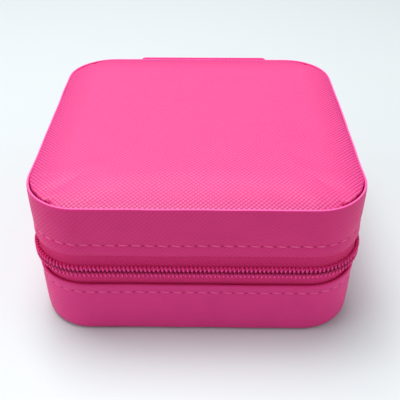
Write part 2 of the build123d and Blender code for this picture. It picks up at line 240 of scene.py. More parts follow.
# %% Pieces and swept shapes
def finished(name, mesh, body, materials):
    """Turn a bmesh into a smooth-shaded piece that rides on a body."""
    data = bpy.data.meshes.new(name)
    mesh.to_mesh(data)
    mesh.free()
    piece = bpy.data.objects.new(name, data)
    bpy.context.scene.collection.objects.link(piece)
    for material in materials:
        data.materials.append(material)
    data.polygons.foreach_set("use_smooth", [True] * len(data.polygons))
    if body:
        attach(piece, body)
    return piece


def draw_along(mesh, profile, stations, closed):
    """Draw (outwards, height) points along the wall; gives the first ring's edges and the last's."""
    runs = mesh.verts.layers.float.new("run")
    first = wall_frame(stations[0])
    ring = [mesh.verts.new(first @ Vector((0, out, up))) for out, up in profile]
    for vertex in ring:
        vertex[runs] = stations[0]
    nexts = ring[1:] + ring[:1] if closed else ring[1:]
    edges = first_edges = [mesh.edges.new(pair) for pair in zip(ring, nexts)]
    for before, after in zip(stations, stations[1:]):
        grown = bmesh.ops.extrude_edge_only(mesh, edges=edges)["geom"]
        edges = [g for g in grown if isinstance(g, bmesh.types.BMEdge)]
        moved = [g for g in grown if isinstance(g, bmesh.types.BMVert)]
        step = wall_frame(after) @ wall_frame(before).inverted()
        bmesh.ops.transform(mesh, matrix=step, verts=moved)
        for vertex in moved:
            vertex[runs] = after
    return first_edges, edges


def sweep(profile, stations, joined=False):
    """A closed cross-section drawn along the wall: capped at its ends, or joined to itself."""
    mesh = bmesh.new()
    cloth = mesh.loops.layers.uv.new("cloth")
    first_edges, last_edges = draw_along(mesh, profile, stations, closed=True)
    if not joined:
        bmesh.ops.contextual_create(mesh, geom=first_edges)
        bmesh.ops.contextual_create(mesh, geom=last_edges)
    runs = mesh.verts.layers.float["run"]
    for face in mesh.faces:
        for loop in face.loops:
            loop[cloth].uv = (loop.vert[runs], loop.vert.co.z)
    if joined:
        bmesh.ops.remove_doubles(mesh, verts=mesh.verts, dist=0.01 * MM)
    bmesh.ops.recalc_face_normals(mesh, faces=mesh.faces)
    return mesh


# %% Unevenness and rounding
def uneven(mesh, depth, wavelength, start_z=0.0):
    """Push the surface in and out a little by a smooth noise, as a hand-glued cover lies."""
    for vertex in mesh.verts:
        across = Vector((vertex.co.x, vertex.co.y, 0)).normalized()
        wander = noise.noise(vertex.co / wavelength + Vector((0, 0, start_z)))
        vertex.co += across * depth * wander
        vertex.co.z += 0.7 * depth * noise.noise(vertex.co / wavelength + Vector((5, 0, start_z)))
    return mesh


def subdivide(piece, levels=1):
    """Round a piece off with a subdivision surface."""
    rounder = piece.modifiers.new("rounded", "SUBSURF")
    rounder.levels = levels
    rounder.render_levels = levels
    return piece


# %% [markdown]
# ## Cross-grain leathercloth
# The covers are polyurethane on a cloth backing, hot-pressed with a cross-grain: two sets of
# fine slanting ridges that cross into tiny diamonds. A plain shader would look like plastic, so
# two wave patterns make the ridges, their crossing makes the diamonds, and a little noise keeps
# them from being perfect. The press leaves the ridges shinier than the hollows.

# %% Leathercloth
GRAIN_PITCH = 1.0 * MM      # between ridges; a real press is nearer 0.7, drawn as coarse as shows
WAVE_UNIT = 0.314           # a wave texture of scale 1 repeats about every 0.314


def slanted_waves(material, place, angle, pitch, wobble):
    """Ridges that run at an angle over the surface."""
    aslant = add(material, "ShaderNodeMapping", Vector=place, Rotation=(0, 0, math.radians(angle)))
    return add(
        material, "ShaderNodeTexWave", {"wave_type": "BANDS", "bands_direction": "X"},
        Vector=aslant.outputs[0], Scale=WAVE_UNIT / pitch, Distortion=wobble,
        Detail=1.0, Detail_Scale=1.5,
    ).outputs["Fac"]


def shaded_hollows_at_edge(material, place, ridges):
    """Painted shade in the grain's hollows, only where the cloth rolls down at the panel's edge."""
    parts = add(material, "ShaderNodeSeparateXYZ", Vector=place)
    x_reach = maths(material, "ABSOLUTE", parts.outputs[0])
    y_reach = maths(material, "ABSOLUTE", parts.outputs[1])
    reach = maths(material, "MAXIMUM", x_reach, y_reach)
    flat, bent = HALF - 11 * MM, HALF - 2 * MM
    bend = add(material, "ShaderNodeMapRange", Value=reach, From_Min=flat, From_Max=bent)
    hollows = maths(material, "SUBTRACT", 1.0, ridges)
    return maths(material, "MULTIPLY", hollows, bend.outputs[0])


def needle_holes(material, place, height):
    """1 in the small holes that the needle left between stitches, else 0."""
    parts = add(material, "ShaderNodeSeparateXYZ", Vector=place)
    along = maths(material, "PINGPONG", parts.outputs[0], STITCH_PITCH / 2)
    across = maths(material, "SUBTRACT", parts.outputs[1], height)
    along_squared = maths(material, "MULTIPLY", along, along)
    squares = maths(material, "MULTIPLY_ADD", across, across, along_squared)
    far = maths(material, "SQRT", squares)
    hole, rim = 0.2 * MM, 0.5 * MM
    return add(
        material, "ShaderNodeMapRange", Value=far, From_Min=hole, From_Max=rim, To_Min=1.0, To_Max=0.0,
    ).outputs[0]


# %% [markdown]
# The cover's material joins the grain, painted shade in the grain's hollows at the panel's rolled edge or in
# the needle holes, and a painted highlight along the lip where the lid's cover is folded double. It is made
# for the top, the lid and the base first, each with its own high tone that paints the top lit and the lid's
# wall shaded.

# %% The three covers
def leathercloth(name, on_wall, grain=1.0, bright="f8489a", stitch_height=None, lip_highlight_height=None):
    """Pink cross-grain cover. On a wall the grain follows the cloth, elsewhere the flat panel."""
    material = new_material(name)
    if on_wall:
        place = add(material, "ShaderNodeUVMap", {"uv_map": "cloth"}).outputs[0]
    else:
        place = add(material, "ShaderNodeTexCoord").outputs["Object"]
    rising = slanted_waves(material, place, 45, GRAIN_PITCH, 1.0)
    falling = slanted_waves(material, place, -45, GRAIN_PITCH, 1.0)
    stronger, weaker = (falling, rising) if on_wall else (rising, falling)
    weave = 0.75 if on_wall else 0.95
    crossing = maths(material, "MULTIPLY_ADD", weaker, weave, 1 - weave)
    ridges = maths(material, "POWER", maths(material, "MULTIPLY", stronger, crossing), 0.5)
    patches = add(material, "ShaderNodeTexNoise", Vector=place, Scale=120.0, Detail=2.0).outputs["Fac"]
    speckle = add(material, "ShaderNodeTexNoise", Vector=place, Scale=1600.0, Detail=2.0).outputs["Fac"]
    height = maths(material, "MULTIPLY_ADD", speckle, 0.35, ridges)
    deepest, highest = 0.5 - 0.5 * grain, 0.5 + 0.35 * grain
    shown = add(material, "ShaderNodeMapRange", Value=height, To_Min=deepest, To_Max=highest)
    # bright is set per cover, so the same leathercloth is painted lighter where lit and darker where shaded.
    shade = ramp(material, shown.outputs[0], "c81468", bright)
    brightness = add(material, "ShaderNodeMapRange", Value=patches, To_Min=0.93, To_Max=1.07).outputs[0]
    tone = add(material, "ShaderNodeHueSaturation", Color=shade.outputs[0], Value=brightness).outputs[0]
    if not on_wall:
        # Painted shade: the grain's hollows are tinted darker towards the panel's rolled-down edge.
        tone = tinted(material, shaded_hollows_at_edge(material, place, ridges), tone, "a60866")
    if stitch_height is not None:
        hole = needle_holes(material, place, stitch_height)
        # The darker tone in each needle hole is painted shade inside the hole.
        tone = tinted(material, hole, tone, "b0145a")
        height = maths(material, "SUBTRACT", height, hole)
    if lip_highlight_height is not None:
        level = add(material, "ShaderNodeSeparateXYZ", Vector=place).outputs[1]
        lip_highlight_top = lip_highlight_height + 0.25 * MM
        fold = add(material, "ShaderNodeMapRange", Value=level, From_Min=lip_highlight_height, From_Max=lip_highlight_top)
        # Painted highlight: the top of the lip is turned to a lighter tone.
        tone = tinted(material, fold.outputs[0], tone, "fa64aa")
    relief = 0.12 + 0.55 * grain
    bump = add(material, "ShaderNodeBump", Height=height, Strength=relief, Distance=0.12 * MM)
    gloss = add(material, "ShaderNodeMapRange", Value=ridges, To_Min=0.6, To_Max=0.44)
    links = {"Base Color": tone, "Normal": bump.outputs[0], "Roughness": gloss.outputs[0]}
    return dress(material, links, {"IOR": 1.5, "Specular IOR Level": 0.22 if on_wall else 0.5})


# Each cover gets its own high tone: the top's is the lightest and the lid band's the darkest, which paints
# light on the top and shade on the lid's wall.
panel_leathercloth = leathercloth("cross_grain_leathercloth_panel", on_wall=False, bright="fb5092")
lid_leathercloth = leathercloth(
    "cross_grain_leathercloth_lid_band", on_wall=True, grain=0.26, bright="f0408a",
    stitch_height=LID_STITCH_Z, lip_highlight_height=band_high.z - 0.3 * MM)
base_leathercloth = leathercloth(
    "cross_grain_leathercloth_base_band", on_wall=True, grain=0.07, stitch_height=BASE_STITCH_Z)

# %% [markdown]
# ## The two side bands
# Each cover is a strip wrapped round the board loop, with its edge turned under beside the
# zipper and sewn through. The thread pulls the cloth in along the seam and lets the turned edge
# flare. At the lid's top the strip is folded double and stands up as a thin lip.

# %% Bands
BAND_STEP = 1.5 * MM
whole_wall = stops_between(0.0, ROUND, BAND_STEP)


def in_metres(points):
    """Points in millimetres as metres."""
    return [(out * MM, up * MM) for out, up in points]


def lid_band_profile():
    """From the inside of the turned edge, down, out, and up the outside to the lip."""
    low = band_low.z / MM
    seam = LID_STITCH_Z / MM
    top = band_high.z / MM
    return in_metres([
        (-0.9, low + 0.6), (-0.7, low + 0.05), (-0.1, low), (0.22, low + 0.2), (0.3, low + 1.0),
        (0.16, seam - 1.2), (-0.1, seam - 0.35), (-0.16, seam), (-0.1, seam + 0.35), (0.06, seam + 1.4),
        (0.1, seam + 4.5), (0.1, top - 4.0), (0.0, top - 1.2), (-0.03, top - 0.45), (-0.18, top - 0.08),
        (-0.45, top + 0.02), (-0.72, top - 0.1), (-0.86, top - 0.5), (-0.9, top - 2.0), (-0.9, seam),
    ])


def base_band_profile():
    """From the inside of the foot, out, and up the outside to the turned edge."""
    low = base_low.z / MM
    seam = BASE_STITCH_Z / MM
    top = base_high.z / MM
    return in_metres([
        (-1.15, low + 0.9), (-1.15, low + 0.1), (-0.9, low + 0.05), (-0.5, low + 0.35),
        (-0.18, low + 1.1), (0.0, low + 2.2), (0.08, low + 4.0), (0.1, seam - 5.0),
        (0.04, seam - 1.4), (-0.09, seam - 0.35), (-0.14, seam), (-0.09, seam + 0.35),
        (0.08, seam + 1.2), (0.18, top - 0.7), (0.12, top - 0.15), (-0.2, top + 0.02),
        (-0.7, top - 0.05), (-0.9, top - 0.5), (-0.9, seam - 2.0),
    ])


LID_WAVES = (0.18 * MM, 11 * MM, 0.0)       # unevenness of a cover: depth, length, and its start
BASE_WAVES = (0.14 * MM, 14 * MM, 3.0)


def band(name, profile, waves, body, material):
    """One side cover, wrapped right round the case."""
    mesh = uneven(sweep(profile, whole_wall, joined=True), *waves)
    return subdivide(finished(name, mesh, body, [material]))


lid_band = band("lid_band", lid_band_profile(), LID_WAVES, "lid", lid_leathercloth)
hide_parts("lid_side_cover")
base_band = band("base_band", base_band_profile(), BASE_WAVES, "base", base_leathercloth)
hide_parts("base_side_cover")
print("bands:", len(lid_band.data.polygons), "and", len(base_band.data.polygons), "faces")

# %% [markdown]
# ## Blowing up a skin
# The lid's top and the ring rolls are cloth over foam. A carved shape would look hard, so the
# cloth simulation pushes a fine skin out against its own stretch, as the foam does. Points that
# are glued down stay, and no point may move further than the foam could push it.

# %% Cloth that is blown up
def puff(piece, pressure, cap, glued=None, frames=20):
    """Blow up a skin with the cloth simulation, and keep each point within cap of its start."""
    starts = [vertex.co.copy() for vertex in piece.data.vertices]
    cloth = piece.modifiers.new("cloth", "CLOTH")
    cloth.settings.quality = 6
    cloth.settings.mass = 0.2
    cloth.settings.use_pressure = True
    cloth.settings.uniform_pressure_force = pressure
    cloth.settings.effector_weights.gravity = 0
    if glued:
        group = piece.vertex_groups.new(name="glued")
        group.add([vertex.index for vertex in piece.data.vertices if glued(vertex.co)], 1.0, "REPLACE")
        cloth.settings.vertex_group_mass = group.name
    cloth.point_cache.frame_start = 1
    cloth.point_cache.frame_end = frames
    for frame_number in range(1, frames + 1):
        bpy.context.scene.frame_set(frame_number)
    with bpy.context.temp_override(object=piece, active_object=piece):
        bpy.ops.object.modifier_apply(modifier=cloth.name)
    bpy.context.scene.frame_set(1)
    moves = [vertex.co - start for vertex, start in zip(piece.data.vertices, starts)]
    for vertex, start, move in zip(piece.data.vertices, starts, moves):
        if move.length > cap:
            vertex.co = start + move * (cap / move.length)
    furthest = max(move.length for move in moves)
    print(piece.name, "moved up to", round(furthest / MM, 2), "mm before the cap")

# %% [markdown]
# ## The padded top
# A sheet of the same leathercloth is drawn over thin foam and a board, glued behind it, and the
# whole panel is pressed down inside the lip. The cut shape comes first: its edge is swept round
# the wall to the point where the corners close up, a grid fills the square core, and the front
# rolls down while the corners draw in and tuck. The simulation then swells it over the foam.

# %% Padded panel
PANEL_DIVISIONS = 44
CORNER_DIVISIONS = 36
SKIN = 0.8 * MM                     # thickness of the leathercloth
SKIN_EDGE = 0.9 * MM                # from the wall's face in to the panel's edge
CROWN = 0.75 * MM                   # height of the panel's middle over the lip
PLATEAU_Z = band_high.z + CROWN
EDGE_ROLL = 6.5 * MM                # width of the margin that rolls down all round
FRONT_ROLL = 1.3 * MM               # how much further the front edge rolls down
CORNER_ROLL = 0.5 * MM              # and each corner
PULLED_IN = 0.75 * MM               # how far the cloth shrinks back from the lip at a corner
PLEATS = 9
PLEAT_DEPTH = 0.12 * MM
TUCK_ANGLE = 57                     # degrees round each corner where the cloth folds over itself
TUCK_IN = 0.9 * MM
TUCK_DOWN = 1.2 * MM
BACK_SLACK = 0.15                   # the back corners are drawn tighter than the front ones


def aligned_stations():
    """Stations that fall on the ends of each straight, with the corners cut finer."""
    places = []
    for wall in range(4):
        start = wall * SIDE - CORE
        places += [start + 2 * CORE * i / PANEL_DIVISIONS for i in range(PANEL_DIVISIONS)]
        places += [start + 2 * CORE + QUARTER * i / CORNER_DIVISIONS for i in range(CORNER_DIVISIONS)]
    return places + [4 * SIDE - CORE]


def crowned_panel(profile, core_heights):
    """A panel whose edge is a swept profile and whose square core is a grid at each height."""
    mesh = bmesh.new()
    draw_along(mesh, profile, aligned_stations(), closed=False)
    for height in core_heights:
        bmesh.ops.create_grid(
            mesh, x_segments=PANEL_DIVISIONS, y_segments=PANEL_DIVISIONS, size=CORE,
            matrix=Matrix.Translation((0, 0, height)))
    bmesh.ops.remove_doubles(mesh, verts=mesh.verts, dist=0.02 * MM)
    bmesh.ops.dissolve_degenerate(mesh, edges=mesh.edges, dist=0.01 * MM)
    bmesh.ops.recalc_face_normals(mesh, faces=mesh.faces)
    return mesh


# %% [markdown]
# The height falls in a curve towards the lip. Past the square core each corner is told apart by
# its angle: cloth shrinks back from the lip on the side half, and folds over itself beyond.

# %% How the edge and corners are drawn
def edge_drop(inward):
    """How far the skin has rolled down at a distance in from the lip."""
    share = max(0.0, 1 - inward / EDGE_ROLL)
    return CROWN * share ** 2


def from_core(point):
    """The way from the panel's square core out to a point, level."""
    core_x = max(-CORE, min(CORE, point.x))
    core_y = max(-CORE, min(CORE, point.y))
    return point - Vector((core_x, core_y, point.z))


def corner_share(point):
    """0 along the straight walls, rising to 1 in the middle of each corner."""
    past_x = max(abs(point.x) - CORE, 0.0)
    past_y = max(abs(point.y) - CORE, 0.0)
    reach = past_x * past_x + past_y * past_y
    return 2 * past_x * past_y / reach if reach > 0 else 0.0


def gap_share(degrees):
    """1 where the cloth shrinks back from the lip, on the side half of each corner, else 0."""
    rise = max(0.0, min(1.0, degrees / 34))
    fall = max(0.0, min(1.0, (TUCK_ANGLE + 4 - degrees) / 5))
    return (0.25 * rise + 0.75 * rise * rise) * fall


def pull_corners(mesh):
    """Roll the skin down at the front, draw it in at the corners, and tuck it there."""
    for vertex in mesh.verts:
        share = corner_share(vertex.co)
        height = vertex.co.z
        outward = from_core(vertex.co)
        if outward.length == 0:
            continue
        near_edge = min(1.0, outward.length / (CORNER - SKIN_EDGE))
        degrees = math.degrees(math.atan2(abs(outward.y), abs(outward.x)))
        frontness = max(0.0, -outward.normalized().y)
        above_fold = max(0.0, min(1.0, (height - PLATEAU_Z + 3.2 * MM) / (0.6 * MM)))
        slack = 0.0
        if share > 0:
            slack = 1.0 if vertex.co.y < 0 else BACK_SLACK
        gap = slack * gap_share(degrees) * near_edge ** 6
        tuck = slack * math.exp(-((degrees - TUCK_ANGLE) / 3) ** 2) * near_edge ** 12
        ripple = math.cos(4 * PLEATS * math.radians(degrees))
        pleat = ripple * PLEAT_DEPTH * share * near_edge ** 8
        drop = FRONT_ROLL * frontness ** 2 * (1 - 0.5 * gap) + CORNER_ROLL * share * (1 - gap)
        vertex.co.z -= drop * near_edge ** 3 + TUCK_DOWN * tuck
        drawn_in = PULLED_IN * gap + TUCK_IN * tuck - pleat
        vertex.co -= outward.normalized() * drawn_in * above_fold


def near_the_lip(point):
    """True in the last millimetres of the panel, which the glue and the lip hold."""
    return from_core(point).length > CORNER - 2.4 * MM


def thicken(piece, thickness):
    """Give a sheet its thickness behind its face."""
    solid = piece.modifiers.new("cloth_thickness", "SOLIDIFY")
    solid.thickness = thickness
    solid.offset = -1


# %% The padded top
inward_steps = [0.0, 0.35, 0.8, 1.4, 2.1, 3.0, 4.0, 5.2, 7.0, 9.5, 12.5]
panel_edge = [(-1.3 * MM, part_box("lid_top_cover")[0].z), (-SKIN_EDGE, PLATEAU_Z - 2.6 * MM)]
panel_edge += [(-SKIN_EDGE - step * MM, PLATEAU_Z - edge_drop(step * MM)) for step in inward_steps]
panel_edge.append((-CORNER, PLATEAU_Z))
panel_mesh = crowned_panel(panel_edge, [PLATEAU_Z])
pull_corners(panel_mesh)
padded_top = finished("padded_top", panel_mesh, None, [panel_leathercloth])
puff(padded_top, pressure=1.5, cap=0.5 * MM, glued=near_the_lip)
thicken(padded_top, SKIN)
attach(padded_top, "lid")
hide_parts("lid_top_cover")

# %% [markdown]
# ## Soft-edged copies
# Board wrapped in velvet, sewn tabs and cast metal have the right size and shape in the frame,
# but no real edge is knife-sharp. A copy of the node is merged, its flat triangles are joined
# again, and its sharp edges are bevelled; the copy then stands for the node.

# %% Soft-edged copies
def node_mesh(node):
    """A copy of a node's mesh, with its doubled points merged."""
    mesh = bmesh.new()
    mesh.from_mesh(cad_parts[node].data)
    bmesh.ops.remove_doubles(mesh, verts=mesh.verts, dist=0.001 * MM)
    return mesh


def softened(node, width, material, body, segments=2):
    """A piece with a node's shape and rounded edges, which stands for that node."""
    mesh = node_mesh(node)
    flat, sharp_turn = math.radians(0.5), math.radians(35)
    bmesh.ops.dissolve_limit(
        mesh, angle_limit=flat, verts=mesh.verts, edges=mesh.edges, use_dissolve_boundaries=False)
    creases = [edge for edge in mesh.edges if len(edge.link_faces) == 2]
    sharp = [edge for edge in creases if edge.calc_face_angle() > sharp_turn]
    bmesh.ops.bevel(
        mesh, geom=sharp, offset=width, offset_type="OFFSET", segments=segments, profile=0.5,
        affect="EDGES", material=-1, clamp_overlap=True)
    bmesh.ops.recalc_face_normals(mesh, faces=mesh.faces)
    piece = finished("soft_" + node, mesh, body, [material])
    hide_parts(node)
    return piece


# %% [markdown]
# ## Finishes of the small parts
# Zipper tape is a polyester twill: slanting ribs across a narrow band. The coil is a nylon
# thread, smooth and a little see-through at its edge. The slider and snaps are cast and pressed
# metal with a pale gold plating, which shows as a warm mirror with fine handling marks. Velvet
# is a dense cut pile, bright where it is seen edge-on, so its shader has sheen over a soft,
# slightly mottled base.

# %% Tape and plain finishes
def twill_tape():
    """Slanting ribs, crossed by finer picks, that shade the crimson and raise it."""
    material = new_material("polyester_twill_tape")
    place = add(material, "ShaderNodeUVMap", {"uv_map": "cloth"}).outputs[0]
    rib_pitch = 0.7 * MM        # real twill is about 0.4; drawn as coarse as shows
    ribs = slanted_waves(material, place, 60, rib_pitch, 0.3)
    picks = slanted_waves(material, place, -20, 0.45 * MM, 0.3)
    weave = maths(material, "MULTIPLY_ADD", picks, 0.4, ribs)
    shade = ramp(material, maths(material, "MULTIPLY", weave, 0.7), "cc1062", "f02c84")
    bump = add(material, "ShaderNodeBump", Height=weave, Strength=0.6, Distance=0.1 * MM)
    links = {"Base Color": shade.outputs[0], "Normal": bump.outputs[0]}
    return dress(material, links, {"Roughness": 0.75})


def grained(name, low_colour, high_colour, scale, bump_depth, settings):
    """A finish with a fine mottle; settings go on the shader's own sockets."""
    material = new_material(name)
    place = add(material, "ShaderNodeTexCoord").outputs["Object"]
    mottle = add(material, "ShaderNodeTexNoise", Vector=place, Scale=scale, Detail=3.0, Roughness=0.6)
    grain = mottle.outputs["Fac"]
    shade = ramp(material, grain, low_colour, high_colour, 0.3, 0.7)
    bump = add(material, "ShaderNodeBump", Height=grain, Strength=0.5, Distance=bump_depth)
    return dress(material, {"Base Color": shade.outputs[0], "Normal": bump.outputs[0]}, settings)


# %% Coil thread
def coil_thread():
    """Nylon thread, with a painted highlight where a loop bulges out and painted shade at its heads and its
    sewn end.
    """
    material = new_material("nylon_monofilament")
    place = add(material, "ShaderNodeTexCoord").outputs["Object"]
    level = add(material, "ShaderNodeSeparateXYZ", Vector=place).outputs[2]
    from_middle = maths(material, "ABSOLUTE", maths(material, "SUBTRACT", level, CHAIN_Z))
    share = add(material, "ShaderNodeMapRange", Value=from_middle, From_Max=2.0 * MM).outputs[0]
    # Painted shade at the heads, where the rows mesh, and at the sewn end; a painted highlight where each
    # loop bulges out.
    shade = ramp(material, share, "aa185c", "d82074", 0.17, 0.9)
    for position in (0.48, 0.68):
        shade.color_ramp.elements.new(position).color = colour("ff469e")
    return dress(material, {"Base Color": shade.outputs[0]}, {
        "Roughness": 0.5, "IOR": 1.53, "Specular IOR Level": 0.25,
        "Subsurface Weight": 0.1, "Subsurface Scale": 0.6 * MM})


tape_twill = twill_tape()
coil_nylon = coil_thread()
sewing_thread = grained(
    "polyester_sewing_thread", "f0448e", "fc68aa", 3000.0, 0.05 * MM, {"Roughness": 0.55})
plated_metal = grained(
    "pale_gold_plated_zinc", "e2bd84", "f0d3a2", 1500.0, 0.003 * MM,
    {"Metallic": 1.0, "Roughness": 0.24})
greyboard = grained("greyboard", "8d8678", "a39c8c", 700.0, 0.03 * MM, {"Roughness": 0.9})
sheet_foam = grained("polyether_sheet_foam", "e6e3d6", "f4f2ea", 1400.0, 0.15 * MM, {"Roughness": 0.95})


# %% Velvet, brass and elastic
def cut_pile_velvet():
    """Dense short pile: fine tufts, and wide soft patches where a finger has turned the nap."""
    material = new_material("cut_pile_velvet")
    place = add(material, "ShaderNodeTexCoord").outputs["Object"]
    tufts = add(material, "ShaderNodeTexNoise", Vector=place, Scale=2400.0, Detail=2.0).outputs["Fac"]
    patches = add(material, "ShaderNodeTexNoise", Vector=place, Scale=75.0, Detail=3.0, Distortion=1.2)
    nap = patches.outputs["Fac"]
    both = maths(material, "MULTIPLY_ADD", nap, 0.65, maths(material, "MULTIPLY", tufts, 0.35))
    shade = ramp(material, both, "c03c74", "e0689c", 0.38, 0.62)
    bump = add(material, "ShaderNodeBump", Height=tufts, Strength=0.6, Distance=0.15 * MM)
    return dress(material, {"Base Color": shade.outputs[0], "Normal": bump.outputs[0]}, {
        "Roughness": 0.85, "Sheen Weight": 0.9, "Sheen Roughness": 0.35,
        "Sheen Tint": colour("ffc4dd")})


velvet = cut_pile_velvet()
brass = grained(
    "nickel_free_brass", "caa04e", "e0bc6c", 1500.0, 0.001 * MM, {"Metallic": 1.0, "Roughness": 0.22})
elastic_weave = grained(
    "knitted_elastic", "c0306c", "dc5088", 2200.0, 0.08 * MM, {"Roughness": 0.8})

# %% [markdown]
# ## The foam under the top
# The pad is cut smaller than the cover, so the skin closes round it at the glued edge.

# %% Foam pad
FOAM_IN = 4.2 * MM                  # from the wall's face in to the foam's edge
foam_low, foam_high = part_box("lid_foam_pad")
foam_edge = [(-CORNER, foam_low.z), (-FOAM_IN, foam_low.z), (-FOAM_IN, foam_high.z - 1.6 * MM)]
foam_edge += [(-4.5 * MM, foam_high.z - 0.9 * MM), (-5.4 * MM, foam_high.z - 0.3 * MM)]
foam_edge += [(-7.0 * MM, foam_high.z), (-CORNER, foam_high.z)]
foam_mesh = crowned_panel(foam_edge, [foam_low.z, foam_high.z])
foam_pad = finished("foam_pad", foam_mesh, "lid", [sheet_foam])
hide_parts("lid_foam_pad")

# %% [markdown]
# ## The zipper
# Each half is a woven tape with a nylon spiral sewn along its edge. The spiral is one thread,
# so it is a curve: a loop works out its turns, and the curve's own bevel gives the thickness.
# The two rows are half a turn out of step, so their loops mesh in the middle. Between the top
# stops and the parked slider's mouth they stand apart, on both sides of the slider's post.

# %% Tapes
TAPE_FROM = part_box("upper_hinge_lining")[1].x + 0.5 * MM
TAPE_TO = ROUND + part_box("upper_hinge_lining")[0].x - 0.5 * MM
TAPE_OUT = tape_high.x - HALF           # where the tape is sewn behind the cover
TAPE_BULGE = -0.35 * MM                 # where it carries the coil
TAPE_EDGE = 0.12 * MM                   # from the chain's middle to each tape's inner edge
PARTED = 0.85 * MM                      # each row moves aside by this to pass the slider's post
TAPE_PARTED = 0.7 * MM                  # and each tape's edge by this

mouth_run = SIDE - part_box("slider_body")[0].y
stop_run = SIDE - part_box("upper_top_stop")[0].y


def open_share(run):
    """0 where the rows mesh, 1 beside the parked slider's post, and 0 again past the top stops."""
    rise = (mouth_run - run) / (7.0 * MM)
    fall = (run - stop_run + 6.0 * MM) / (4.0 * MM)
    return max(0.0, min(1.0, rise, fall))


def part_edges(mesh, side):
    """Draw a tape's inner edge aside where the slider's post comes through."""
    runs = mesh.verts.layers.float["run"]
    for vertex in mesh.verts:
        if abs(vertex.co.z - CHAIN_Z) < 0.5 * MM:
            vertex.co.z += side * TAPE_PARTED * open_share(vertex[runs])
    return mesh


def tape_profile(inner, outer):
    """A thin strip, bulged out beside the coil and sunk behind the cover at its sewn side."""
    side = 1 if outer > inner else -1
    face = [
        (TAPE_BULGE - 0.1 * MM, inner),
        (TAPE_BULGE, inner + side * 1.2 * MM),
        (TAPE_BULGE - 0.12 * MM, inner + side * 2.1 * MM),
        (TAPE_BULGE - 0.52 * MM, inner + side * 2.7 * MM),
        (TAPE_OUT + 0.1 * MM, inner + side * 3.4 * MM),
        (TAPE_OUT, inner + side * 5.0 * MM),
        (TAPE_OUT, outer),
    ]
    back = [(out - 0.45 * MM, up) for out, up in reversed(face)]
    return face + back


tape_run = stops_between(TAPE_FROM, TAPE_TO, BAND_STEP)
for half, body, inner_z, outer_z in (
    ("upper", "lid", CHAIN_Z + TAPE_EDGE, tape_high.z),
    ("lower", "base", CHAIN_Z - TAPE_EDGE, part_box("lower_zipper_tape")[0].z),
):
    strip = part_edges(sweep(tape_profile(inner_z, outer_z), tape_run), 1 if half == "upper" else -1)
    tape = finished(half + "_tape", strip, body, [tape_twill])
    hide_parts(half + "_zipper_tape")

# %% Coils
COIL_PITCH = 1.25 * MM
COIL_THREAD = 0.31 * MM             # radius of the nylon thread
COIL_POINTS = 12                    # points in each turn
coil_start = stop_run + 0.9 * MM
coil_end = ROUND + strap_low.x - 1.5 * MM
coil_depth = (coil_high.x - HALF - TAPE_BULGE) / 2 - COIL_THREAD
coil_middle = (coil_high.x - HALF + TAPE_BULGE) / 2


def coil_turns(side):
    """Points of one row's spiral. side is 1 for the lid's row and -1 for the base's."""
    turns = int((coil_end - coil_start) / COIL_PITCH) - 1
    row = 1.1 * MM
    reach = 0.85 * MM
    offset = 0.0 if side > 0 else COIL_PITCH / 2
    points = []
    for i in range(turns * COIL_POINTS):
        angle = 2 * math.pi * i / COIL_POINTS
        # a pressed coil runs straight across in front and moves on to its next turn behind
        advance = i / COIL_POINTS - 0.8 * math.sin(angle) / (2 * math.pi)
        run = coil_start + offset + COIL_PITCH * advance
        out = coil_middle + coil_depth * math.cos(angle)
        height = CHAIN_Z + side * (row + PARTED * open_share(run)) + reach * math.sin(angle)
        points.append(wall_frame(run) @ Vector((0, out, height)))
    return points


def tube(name, points, radius, sides, body, material):
    """A round thread along points, as a mesh."""
    curve = bpy.data.curves.new(name, "CURVE")
    curve.dimensions = "3D"
    curve.bevel_depth = radius
    curve.bevel_resolution = sides
    curve.use_fill_caps = True
    line = curve.splines.new("POLY")
    line.points.add(len(points) - 1)
    for spot, point in zip(line.points, points):
        spot.co = (*point, 1.0)
    holder = bpy.data.objects.new(name + "_line", curve)
    bpy.context.scene.collection.objects.link(holder)
    data = bpy.data.meshes.new_from_object(holder.evaluated_get(bpy.context.evaluated_depsgraph_get()))
    bpy.data.objects.remove(holder)
    mesh = bmesh.new()
    mesh.from_mesh(data)
    return finished(name, mesh, body, [material])


for half, body, side in (("upper", "lid", 1), ("lower", "base", -1)):
    coil = tube(half + "_coil", coil_turns(side), COIL_THREAD, 1, body, coil_nylon)
    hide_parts(half + "_zipper_coil")
    print(coil.name, len(coil.data.polygons), "faces")

# %% Slider, pull and stops
softened("slider_body", 0.22 * MM, plated_metal, "slider", 3)
softened("pull_tab", 0.22 * MM, plated_metal, "pull", 3)
softened("upper_top_stop", 0.2 * MM, plated_metal, "lid", 2)
softened("lower_top_stop", 0.2 * MM, plated_metal, "base", 2)

# %% [markdown]
# ## Stitching
# A sewn seam is a row of short threads that dive into the cloth at each end. Each is a ball
# stretched along the seam and sunk a little, tilted by a hair because no machine is perfect.
# The random draws start from a fixed seed, so every run gives the same seam.

# %% Stitches
THREAD = 0.26 * MM
draw = random.Random(7)


def stitches(name, places, length, body, sunk=0.08 * MM, waves=None):
    """One stitch at each place: X along the seam, Y out of the cloth, which may be uneven."""
    mesh = bmesh.new()
    for place in places:
        tilt = Matrix.Rotation(math.radians(draw.uniform(-11, -3)), 4, "Y")
        size = Matrix.Diagonal((length / 2 * draw.uniform(0.94, 1.02), THREAD, THREAD, 1))
        poles_along = Matrix.Rotation(math.pi / 2, 4, "Y")
        matrix = place @ Matrix.Translation((0, -sunk, 0)) @ tilt @ size @ poles_along
        bmesh.ops.create_uvsphere(mesh, u_segments=8, v_segments=6, radius=1.0, matrix=matrix)
    if waves:
        uneven(mesh, *waves)
    return finished(name, mesh, body, [sewing_thread])


